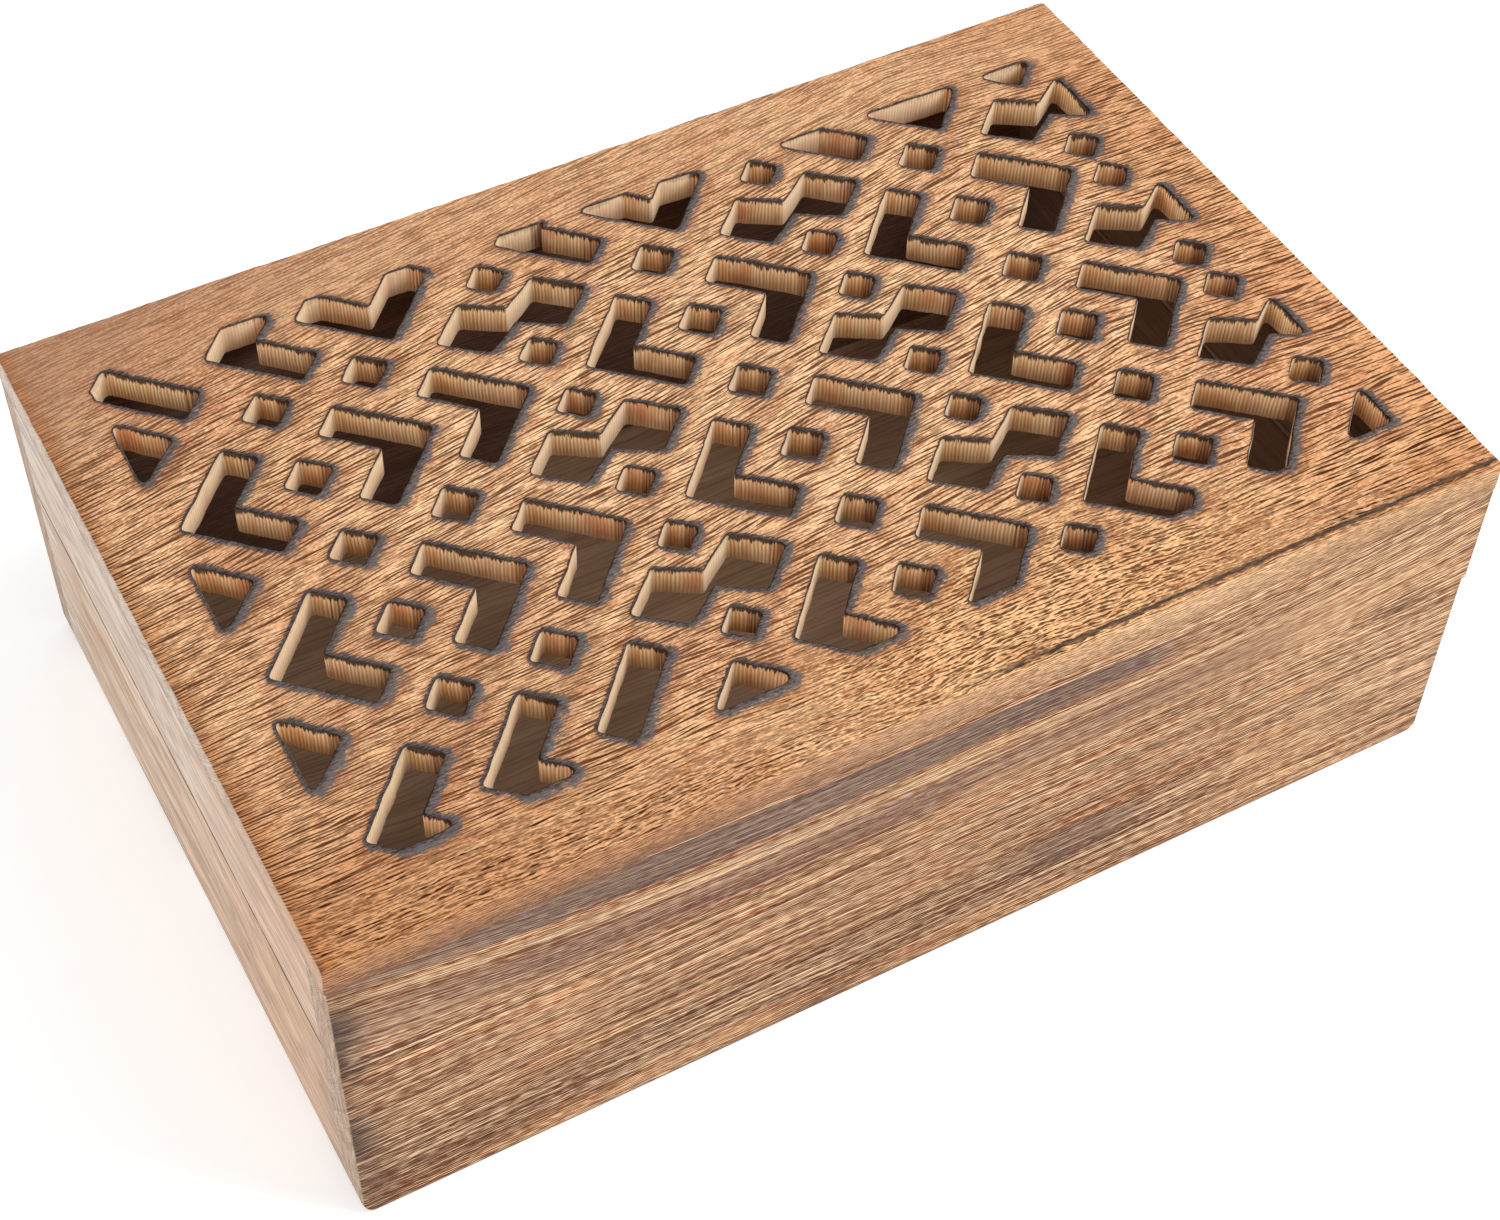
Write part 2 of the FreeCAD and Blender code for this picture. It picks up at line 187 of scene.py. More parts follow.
def rounded(loop, radius, step):
    """The loop with rounded corners, as points a step apart."""
    points = []
    arcs = []
    for behind, here, ahead in zip(np.roll(loop, 1, 0), loop, np.roll(loop, -1, 0)):
        d0 = here - behind
        d1 = ahead - here
        l0 = np.linalg.norm(d0)
        l1 = np.linalg.norm(d1)
        d0 = d0 / l0
        d1 = d1 / l1
        turn = math.acos(max(-1, min(1, float(d0 @ d1))))
        bite = math.tan(turn / 2)
        burnt = float((d0 - d1) @ np.array(HOT_SIDE)) > HOT_TURN
        wide = max(bite, bite ** (BURNT_BITE if burnt else SAWN_BITE))
        reach = min(radius * wide, SIDE_SHARE * l0, SIDE_SHARE * l1)
        start = here - d0 * reach
        end = here + d1 * reach
        count = max(3, math.ceil(2 * reach / step))
        ts = [i / count for i in range(count + 1)]
        arcs.append([start * (1 - t) ** 2 + 2 * here * t * (1 - t) + end * t * t for t in ts])
    for arc, following in zip(arcs, arcs[1:] + arcs[:1]):
        points += arc[:-1]
        points += run(arc[-1], following[0], step)
    return np.array(points)


def unit(vectors):
    """Rows of a table of vectors, each brought to length 1."""
    return vectors / np.linalg.norm(vectors, axis=1)[:, None]


def normals_out(points):
    """Unit normals to the right of an anticlockwise loop, so away from what it encloses."""
    along = unit(np.roll(points, -1, 0) - np.roll(points, 1, 0))
    return np.stack([along[:, 1], -along[:, 0]], 1)


def inside(points, loop):
    """Which points lie inside a loop."""
    x, y = points.T
    found = np.zeros(len(points), bool)
    for (x0, y0), (x1, y1) in zip(loop, np.roll(loop, -1, 0)):
        if y0 != y1:
            found ^= ((y0 > y) != (y1 > y)) & (x < (x1 - x0) * (y - y0) / (y1 - y0) + x0)
    return found


def sawn(corners):
    """A cut-out's edge as the saw left it: corners a little round, edges a little wavy."""
    points = rounded(corners, CUT_CORNER, CUT_STEP)
    stray = [SAW_WANDER * noise_at(x, y, SAW_WANDER_LENGTH)
             + SAW_CHATTER * noise_at(x, y, SAW_CHATTER_LENGTH, SAW_CHATTER_LAYER) for x, y in points]
    return points + normals_out(points) * np.array(stray)[:, None]


# Meshes

# A point's marks, and what they are away from the cut-outs
MARKS = {"rim": RIM_FAR, "reach": 1.0, "deep": 0.0, "arc": 0.0, "corner": RIM_FAR}
INSIDE_OUTLINE = 1        # asks for triangles within the outermost edges only
SAME_POINT = 1e-5         # points closer than this are one


class Build:
    """A mesh in the making, with a set of marks on each point for its material."""

    def __init__(self):
        self.points = []
        self.marks = []
        self.faces = []

    def ring(self, points, z, **marks):
        first = len(self.points)
        count = len(points)
        columns = [np.broadcast_to(marks.get(name, usual), count) for name, usual in MARKS.items()]
        self.points += [(p[0], p[1], h) for p, h in zip(points, np.broadcast_to(z, count))]
        self.marks += list(zip(*columns))
        return list(range(first, first + count))

    def stitch(self, lower, upper):
        """Quads between two rings that run the same way."""
        for i in range(len(lower)):
            j = (i + 1) % len(lower)
            self.faces.append((lower[i], lower[j], upper[j], upper[i]))

    def fill(self, rims, extra, upwards):
        """Triangles over the flat face between an outer ring and the rings of its cut-outs."""
        index = [i for ring in rims for i in ring] + extra
        place = {v: k for k, v in enumerate(index)}
        flat = [Vector(self.points[i][:2]) for i in index]
        edges = []
        owner = {}
        for number, ring in enumerate(rims):
            for a, b in zip(ring, ring[1:] + ring[:1]):
                edges.append((place[a], place[b]))
                owner[place[a]] = number
        made = geometry.delaunay_2d_cdt(flat, edges, [], INSIDE_OUTLINE, SAME_POINT)
        made_faces, made_origins = made[2:4]
        origin = [ids[0] for ids in made_origins]
        triangles = [[origin[v] for v in face] for face in made_faces]
        middles = np.array([sum((flat[v] for v in t), Vector((0, 0))) / 3 for t in triangles])
        # A triangle with all its corners on one cut-out's ring may lie in the opening
        keep = np.ones(len(triangles), bool)
        by_ring = {}
        for k, t in enumerate(triangles):
            owners = {owner.get(v) for v in t}
            if len(owners) == 1 and None not in owners:
                by_ring.setdefault(owners.pop(), []).append(k)
        for number, members in by_ring.items():
            if number > 0:
                loop = np.array([self.points[i][:2] for i in rims[number]])
                keep[members] = ~inside(middles[members], loop)
        for k, t in enumerate(triangles):
            if keep[k]:
                face = [index[v] for v in t]
                self.faces.append(tuple(face if upwards else reversed(face)))

    def make(self, name, material):
        mesh = bpy.data.meshes.new(name)
        mesh.from_pydata([(x * MM, y * MM, z * MM) for x, y, z in self.points], [], self.faces)
        marks = np.array(self.marks, np.float32)
        for column, mark in enumerate(MARKS):
            layer = mesh.attributes.new(mark, "FLOAT", "POINT")
            layer.data.foreach_set("value", np.ascontiguousarray(marks[:, column]))
        mesh.shade_smooth()
        mesh.validate()
        mesh.materials.append(material)
        obj = bpy.data.objects.new(name, mesh)
        bpy.context.scene.collection.objects.link(obj)
        return obj


def hot_corner_distance(points, corners):
    """How far each point is from the nearest corner that the burner lingered in."""
    ahead = np.roll(corners, -1, 0) - corners
    behind = corners - np.roll(corners, 1, 0)
    bisector = unit(unit(behind) - unit(ahead))
    convex = behind[:, 0] * ahead[:, 1] - behind[:, 1] * ahead[:, 0] > 0
    hot = corners[convex & (bisector @ np.array(HOT_SIDE) > HOT_FACING)]
    if not len(hot):
        return np.full(len(points), RIM_FAR)
    return np.linalg.norm(points[:, None, :] - hot[None, :, :], axis=2).min(1)


def char_reach(away):
    """How wide the char is on the side of a cut-out that faces a direction."""
    return CHAR_LEAST + CHAR_MORE * ((1 + away @ np.array(CHAR_SIDE)) / 2).clip(0, 1) ** CHAR_FALL


def round_rectangle(low, high, radius, step):
    """An upright rectangle's outline, anticlockwise, with the normal at each point."""
    points = []
    normals = []
    centres = ((high.x - radius, high.y - radius), (low.x + radius, high.y - radius),
               (low.x + radius, low.y + radius), (high.x - radius, low.y + radius))
    for quarter, centre in enumerate(centres):
        turns = np.radians(90 * quarter + np.linspace(0, 90, EDGE_ARC + 1))
        facing = np.stack([np.cos(turns), np.sin(turns)], 1)
        corner = np.array(centre) + radius * facing
        following = np.array(centres[(quarter + 1) % 4]) + radius * facing[-1]
        side = run(corner[-1], following, step)
        points += list(corner[:-1]) + side
        normals += list(facing[:-1]) + [facing[-1]] * len(side)
    return np.array(points), np.array(normals)


def eased_outside(build, low, high):
    """The panel's outer sides and its worn top arris. Returns the lowest and highest ring."""
    outline, facing = round_rectangle(low, high, EDGE_CORNER, EDGE_STEP)
    wear = np.ones(len(outline))
    for share, length, layer in EDGE_WEAR:
        wear = wear + share * np.array([noise_at(x, y, length, layer) for x, y in outline])
    ease = (EDGE_EASE * wear).clip(EDGE_LEAST, EDGE_CORNER - EDGE_CLEAR)
    to_square = EDGE_CORNER * (1 / np.abs(facing).max(1) - 1) * CRISP
    rings = [build.ring(outline + facing * to_square[:, None], low.z)]
    for k in range(EDGE_ARC + 1):
        angle = math.pi / 2 * k / EDGE_ARC
        shift = ease * (1 - math.cos(angle)) - to_square * math.cos(angle)
        drop = ease * (1 - math.sin(angle))
        rings.append(build.ring(outline - facing * shift[:, None], high.z - drop))
    for lower, upper in zip(rings, rings[1:]):
        build.stitch(lower, upper)
    return rings[0], rings[-1]


def between(cuts, border, tree):
    """Points spread over the wood between the cut-outs, closest together near their rims."""
    free = [p for offset in RIM_RINGS for cut in cuts for p in (cut + normals_out(cut) * offset)[::2]]
    least = [offset for offset in RIM_RINGS for cut in cuts for _ in cut[::2]]
    low = border.min(0) + GRID_MARGIN
    high = border.max(0) - GRID_MARGIN
    columns = np.arange(low[0], high[0], GRID_STEP)
    rows = np.arange(low[1], high[1], GRID_STEP)
    grid = [np.array((x, y)) for x in columns for y in rows]
    free = np.array(free + grid)
    least = np.array(least + [GRID_CLEAR] * len(grid))
    wood = inside(free, border)
    for cut in cuts:
        near = np.flatnonzero(((free > cut.min(0)) & (free < cut.max(0))).all(1))
        wood[near] &= ~inside(free[near], cut)
    taken = set()
    chosen = []
    for p, clear in zip(free[wood], least[wood]):
        cell = (round(p[0] / POINT_CELL), round(p[1] / POINT_CELL))
        if cell not in taken and tree.find((p[0], p[1], 0))[2] > RIM_CLEAR * clear:
            taken.add(cell)
            chosen.append(p)
    return chosen


def fretwork_panel(material):
    """The pierced panel: sawn cut-outs with worn rims, and a worn outer edge."""
    node = nodes["lid_fretwork_panel"]
    low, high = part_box("lid_fretwork_panel")
    loops = sorted(flat_loops(node, high.z), key=lambda loop: -abs(signed_area(loop)))
    cut_corners = [corners_only(loop[::-1]) for loop in loops[1:]]
    cuts = [sawn(c) for c in cut_corners]
    low = low / MM
    high = high / MM
    top = high.z
    bottom = low.z

    build = Build()
    foot, brow = eased_outside(build, low, high)
    tops = [brow]
    feet = [foot]
    for corners, cut in zip(cut_corners, cuts):
        out = normals_out(cut)
        steps = np.linalg.norm(np.diff(cut, axis=0), axis=1)
        marks = {"reach": char_reach(out), "arc": np.concatenate([[0], np.cumsum(steps)]),
                 "corner": hot_corner_distance(cut, corners)}
        rings = []
        for shift, drop in RIM_PROFILE:
            rings.append(build.ring(cut + out * shift, top - drop, rim=shift, deep=drop, **marks))
        for shift, rise in FOOT_PROFILE:
            depth = top - bottom - rise
            rings.append(build.ring(cut + out * shift, bottom + rise, rim=0.0, deep=depth, **marks))
        for upper, lower in zip(rings, rings[1:]):
            build.stitch(upper, lower)
        tops.append(rings[0])
        feet.append(rings[-1])

    tree = kdtree.KDTree(sum(len(c) for c in cuts))
    for k, p in enumerate(p for c in cuts for p in c):
        tree.insert((p[0], p[1], 0), k)
    tree.balance()
    brow_loop = np.array([build.points[i][:2] for i in brow])
    free = np.array(between(cuts, brow_loop, tree))
    gaps = []
    away = []
    for x, y in free:
        near, _, gap = tree.find((x, y, 0))
        gaps.append(gap)
        away.append(((x - near.x) / gap, (y - near.y) / gap))
    extra = build.ring(free, top, rim=np.array(gaps), reach=char_reach(np.array(away)))
    build.fill(tops, extra, True)
    build.fill(feet, [], False)

    panel = build.make("fretwork_panel", material)
    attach(panel, "lid")
    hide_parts("lid_fretwork_panel")


# Materials

class Value:
    """A shader socket that takes part in arithmetic."""

    def __init__(self, graph, socket):
        self.graph = graph
        self.socket = socket

    def __add__(self, other):
        return self.graph.math("ADD", self, other)

    def __radd__(self, other):
        return self.graph.math("ADD", other, self)

    def __sub__(self, other):
        return self.graph.math("SUBTRACT", self, other)

    def __rsub__(self, other):
        return self.graph.math("SUBTRACT", other, self)

    def __mul__(self, other):
        return self.graph.math("MULTIPLY", self, other)

    def __rmul__(self, other):
        return self.graph.math("MULTIPLY", other, self)

    def __truediv__(self, other):
        return self.graph.math("DIVIDE", self, other)

    def __abs__(self):
        return self.graph.math("ABSOLUTE", self, 0.0)

    def __neg__(self):
        return self.graph.math("MULTIPLY", self, -1.0)


class Graph:
    """A material's node tree, built by calls that hand back sockets."""

    def __init__(self, name):
        self.material = bpy.data.materials.new(name)
        self.material.use_nodes = True
        self.tree = self.material.node_tree
        self.tree.nodes.clear()
        coordinates = self.tree.nodes.new("ShaderNodeTexCoord")
        millimetres = self.tree.nodes.new("ShaderNodeVectorMath")
        millimetres.operation = "SCALE"
        millimetres.inputs["Scale"].default_value = 1 / MM
        self.tree.links.new(coordinates.outputs["Object"], millimetres.inputs[0])
        self.x, self.y, self.z = self.split(millimetres.outputs[0])
        self.nx, self.ny, self.nz = self.split(coordinates.outputs["Normal"])

    def plug(self, socket, value):
        if isinstance(value, Value):
            self.tree.links.new(value.socket, socket)
        else:
            socket.default_value = value

    def split(self, socket):
        node = self.tree.nodes.new("ShaderNodeSeparateXYZ")
        self.tree.links.new(socket, node.inputs[0])
        return [Value(self, out) for out in node.outputs]

    def math(self, operation, *inputs):
        node = self.tree.nodes.new("ShaderNodeMath")
        node.operation = operation
        for socket, value in zip(node.inputs, inputs):
            self.plug(socket, value)
        return Value(self, node.outputs[0])

    def texture(self, kind, dimensions, place):
        """A texture node at a place given in cells, on a plane or in space."""
        node = self.tree.nodes.new(kind)
        setattr(node, dimensions, f"{len(place)}D")
        spot = self.tree.nodes.new("ShaderNodeCombineXYZ")
        for socket, value in zip(spot.inputs, place):
            self.plug(socket, value)
        self.tree.links.new(spot.outputs[0], node.inputs["Vector"])
        node.inputs["Scale"].default_value = 1.0
        return node

    def noise(self, x, y, z=None, detail=2.0, roughness=0.5):
        """Noise from about 0 to 1."""
        node = self.texture("ShaderNodeTexNoise", "noise_dimensions", (x, y) if z is None else (x, y, z))
        node.inputs["Detail"].default_value = detail
        node.inputs["Roughness"].default_value = roughness
        return Value(self, node.outputs[0])

    def cells(self, x, y):
        """Distance to the nearest of a scatter of points, one to a cell, and that point's chance number."""
        node = self.texture("ShaderNodeTexVoronoi", "voronoi_dimensions", (x, y))
        return Value(self, node.outputs["Distance"]), Value(self, node.outputs["Color"])

    def rise(self, value, low, high):
        """0 below low, 1 above high, smooth between; falls instead where low is above high."""
        node = self.tree.nodes.new("ShaderNodeMapRange")
        node.interpolation_type = "SMOOTHSTEP"
        self.plug(node.inputs["Value"], value)
        down = low > high
        node.inputs["From Min"].default_value = high if down else low
        node.inputs["From Max"].default_value = low if down else high
        node.inputs["To Min"].default_value = 1.0 if down else 0.0
        node.inputs["To Max"].default_value = 0.0 if down else 1.0
        return Value(self, node.outputs[0])

    def mark(self, name):
        node = self.tree.nodes.new("ShaderNodeAttribute")
        node.attribute_name = name
        return Value(self, node.outputs["Fac"])

    def mix(self, share, a, b):
        """Colour a, with a share of colour b laid over it."""
        node = self.tree.nodes.new("ShaderNodeMix")
        node.data_type = "RGBA"
        self.plug(node.inputs[0], share)
        for socket, value in ((node.inputs[6], a), (node.inputs[7], b)):
            self.plug(socket, value if isinstance(value, Value) else colour(value))
        return Value(self, node.outputs[2])

    def surface(self, base, roughness, height, depth, **constant):
        """A principled surface with a bump of a depth in millimetres."""
        shader = self.tree.nodes.new("ShaderNodeBsdfPrincipled")
        bump = self.tree.nodes.new("ShaderNodeBump")
        output = self.tree.nodes.new("ShaderNodeOutputMaterial")
        self.plug(shader.inputs["Base Color"], base)
        self.plug(shader.inputs["Roughness"], roughness)
        self.plug(bump.inputs["Height"], height)
        bump.inputs["Distance"].default_value = depth * MM
        for name, value in constant.items():
            shader.inputs[name.replace("_", " ")].default_value = value
        self.tree.links.new(bump.outputs[0], shader.inputs["Normal"])
        self.tree.links.new(shader.outputs[0], output.inputs[0])
        return self.material


def colour(rgb):
    """A colour written as it looks on a screen, 0 to 255, as the renderer's linear colour."""
    parts = [v / 255 for v in rgb]
    linear = [c / 12.92 if c <= 0.04045 else ((c + 0.055) / 1.055) ** 2.4 for c in parts]
    return (*linear, 1.0)


def spot(g, a, b, at, size):
    """A soft round patch: 1 in its middle, 0 beyond its size."""
    da = (a - at[0]) / size[0]
    db = (b - at[1]) / size[1]
    return g.rise(da * da + db * db, 1.0, 0.05)


def waves(g, along, across, wave):
    """The line across the grain that its streaks follow as they wander."""
    sway = (g.noise(along / 64, across / 30, detail=1.0) - 0.5) * (4.5 * wave)
    ripple = (g.noise(along / 14, across / 5, detail=1.0) - 0.5) * (0.8 * wave)
    return across + sway + ripple


def strokes(g, along, bent, pitch, length):
    """Open pores: separate dark strokes along the grain, some longer and darker than others."""
    gap, chance = g.cells(along / length, bent / pitch)
    return g.rise(gap + (0.5 - chance) * 0.3, 0.32, 0.18)


def furrows(g, along, bent, pitch, length, width):
    """Brushed-out soft grain: thin dark furrows about a pitch apart, broken at random along the grain."""
    drift = (g.noise(along / (3 * length), bent / (3 * pitch), detail=1.0) - 0.5) * 1.4
    phase = bent / pitch + drift
    number = g.math("FLOOR", phase)
    wander = (g.noise(along / (2 * length), number * WANDER_STRIDE, detail=1.0) - 0.5) * 0.9
    breaks = (g.noise(along / length, number * BREAK_STRIDE, detail=1.0) - 0.5) * 0.75
    gap = abs(phase - number - 0.5 + wander)
    return g.rise(gap - breaks, width + 0.06, width - 0.06)


def top_wood():
    """The lid's panel: brushed golden wood with charred rims, sawn walls and scorched corners."""
    g = Graph("fretwork_wood")
    rim, reach, deep, arc, corner = (g.mark(name) for name in MARKS)
    outside = g.rise(deep, 0.1, 0.0)
    slant = g.math("MINIMUM", g.x, 95.0) * g.rise(g.y, -95, 10) * 0.17
    bent = waves(g, g.x, g.y + g.z * ROUND_EDGE - slant, 0.8)
    golden = spot(g, g.x, g.y, *GOLDEN)
    furrow = furrows(g, g.x, bent, 1.1, 10.0, 0.135)
    short = g.math("MAXIMUM", golden, g.rise(g.y + g.x * 0.04, -82, -98) * 0.7)
    furrow = furrow + (furrows(g, g.x, bent, 1.0, 2.4, 0.15) - furrow) * short
    pore = strokes(g, g.x, bent, 0.6, 6.0)
    fleck = g.noise(g.x / 1.1, bent / 0.45, detail=1.0)
    blush = g.noise(g.x / 13, bent / 2.4, detail=2.0)
    cloud = g.noise(g.x / 46, bent / 22, detail=3.0)
    base = g.mix(g.rise(cloud, 0.34, 0.68), (236, 186, 138), (220, 164, 120))
    # painted pool of light: the middle of the top painted brighter
    base = g.mix(spot(g, g.x, g.y, *LIT_MIDDLE) * 0.5, base, (255, 212, 164))
    base = g.mix(golden * 0.5, base, (236, 178, 116))
    base = g.mix(g.rise(blush, 0.46, 0.66) * 0.55, base, (194, 126, 80))
    base = g.mix(g.rise(fleck, 0.5, 0.36) * 0.4, base, (255, 222, 178))
    base = g.mix(g.rise(fleck, 0.5, 0.66) * 0.28, base, (150, 84, 38))
    scorch = g.rise((g.x - SCORCHED[0]) * 0.5 + SCORCHED[1] - g.y + 60 * (cloud - 0.5), 80, 5)
    base = g.mix(scorch * 0.6, base, (140, 96, 76))
    base = g.mix(g.rise(g.x + g.y + 40 * (cloud - 0.5), -170, -235) * 0.4, base, (186, 122, 76))
    base = g.mix(g.rise(g.x + 40 * (cloud - 0.5), 105, 150) * 0.45, base, (206, 140, 90))
    base = g.mix(g.rise(g.x + 8 * (blush - 0.5), -146, -152) * 0.6, base, (162, 98, 50))

    ragged = g.noise(g.x / 3, g.y / 3, g.z / 3, 4.0, 0.6)
    front_edge = g.rise(-g.ny, 0.5, 0.85) * outside
    edge_wood = g.mix(g.rise(g.x + 60 * (cloud - 0.5), -80, 110), (214, 160, 122), (255, 210, 162))
    heart = g.rise(g.z + 0.02 * abs(g.x + 85) + 3 * (ragged - 0.5), 97.5, 94.5) * g.rise(g.x, 10, -40)
    edge_wood = g.mix(heart * 0.55, edge_wood, (150, 120, 106))
    base = g.mix(front_edge * 0.85, base, edge_wood)
    fine = g.rise(g.y, 58, 88)
    base = g.mix(fine * 0.2, base, (168, 122, 96))
    dark = g.math("MAXIMUM", furrow * 0.9, pore * 0.55) * (1.0 - 0.3 * fine)
    coarse = g.rise(g.y, -62, -92) * g.rise(abs(g.x - 20), 40, 90)
    base = g.mix(coarse * 0.3, base, (196, 130, 78))
    base = g.mix(dark * (1.0 - 0.4 * scorch - 0.25 * front_edge + 0.1 * coarse), base, (62, 26, 4))

    soot_line = g.rise(abs(g.y + FRONT_ARRIS + (ragged - 0.5) * 2.0), 1.2, 0.3)
    soot_line = soot_line * g.rise(g.x + 60 * (ragged - 0.5), -6, 22)
    base = g.mix(soot_line * 0.85, base, (52, 44, 40))
    pale = g.mix(g.rise(ragged, 0.4, 0.62), (222, 208, 194), (204, 184, 166))
    end_edge = g.rise(abs(g.nx), 0.55, 0.8) * outside
    warm = g.rise(g.y + 50 * (ragged - 0.5), -20, -95)
    base = g.mix(end_edge * 0.9, base, g.mix(warm * 0.6, pale, (214, 166, 130)))

    burn = g.noise(g.x / 4.5, g.y / 4.5, g.z / 4.5, 3.0, 0.6)
    speck = g.noise(g.x / 1.8, bent / 0.5, detail=2.0, roughness=0.7)
    plain = base
    near = rim / (reach + 0.5 * g.rise(g.x + g.y, -60, -150)) + (burn - 0.5) * 1.5
    base = g.mix(g.rise(near, 3.2, 0.9) * 0.4, base, (132, 78, 50))
    char = g.rise(near + (speck - 0.5) * 1.6, 1.2, 0.8)
    ash = g.mix(g.rise(speck + 0.14 * rim, 0.4, 0.9), (42, 40, 41), (102, 98, 99))
    base = g.mix(char * 0.93, base, ash)
    lip = g.rise(rim + (burn - 0.5) * 1.4, 0.5, 0.15) * (0.1 + 0.75 * g.rise(reach, 0.8, 1.5))
    base = g.mix(lip, base, (28, 21, 18))

    stria = g.noise(arc / 0.55, deep / 30, g.z / 60, 1.0, 0.6)
    patch = g.noise(g.x / 11, g.y / 11, g.z / 16, 2.0)
    # painted light: walls that face the front-right are painted paler, as if lit, and their singe fainter
    painted_lit_walls = g.rise((g.nx - g.ny) * 0.707, 0.3, 0.8)
    # saw stripes down the walls, here and in the next two mixes: partly burnt wood, partly painted shade of
    # the saw's ridges
    ribs_burn_and_shade = g.rise(abs(g.math("FRACT", arc / 0.9 + 2 * patch) - 0.5), 0.4, 0.1)
    wall = g.mix(ribs_burn_and_shade * 0.75, (255, 230, 182), (216, 142, 88))
    wall = g.mix(g.rise(stria, 0.5, 0.66) * 0.45, wall, (206, 128, 76))
    wall = g.mix(g.rise(patch, 0.48, 0.7) * 0.6, wall, (200, 114, 72))
    # painted highlight on the walls that face the front-right
    wall = g.mix(painted_lit_walls * 0.6, wall, (255, 232, 198))
    wall = g.mix(g.rise(deep, 6.0, 8.2) * 0.4, wall, (255, 226, 192))
    drip = g.rise(corner + (stria - 0.5) * 8 + (patch - 0.5) * 3, 4.4, 1.2)
    wall = g.mix(drip * 0.75, wall, (104, 48, 24))
    # the singe along the top of the walls is real burn, painted fainter on the walls painted as lit
    singe = g.rise(deep + (stria - 0.5) * 4 + (patch - 0.5) * 4, 1.6, 0.7) * (0.92 - 0.7 * painted_lit_walls)
    wall = g.mix(singe, wall, (58, 34, 22))
    sawn_face = g.rise(deep, 0.25, 0.6)
    base = g.mix(sawn_face, base, wall)
    under = g.rise(-g.nz, 0.5, 0.85)
    base = g.mix(under, base, g.mix(0.35, plain, (184, 140, 110)))

    flat = (1.0 - dark + 0.3 * fleck) * (1.0 - char * 0.6)
    wall_share = sawn_face * (1.0 - under)
    height = flat * (1.0 - wall_share) + stria * wall_share * 0.7
    return g.surface(base, 0.55 + 0.25 * char, height, 0.16, Specular_IOR_Level=MATT)


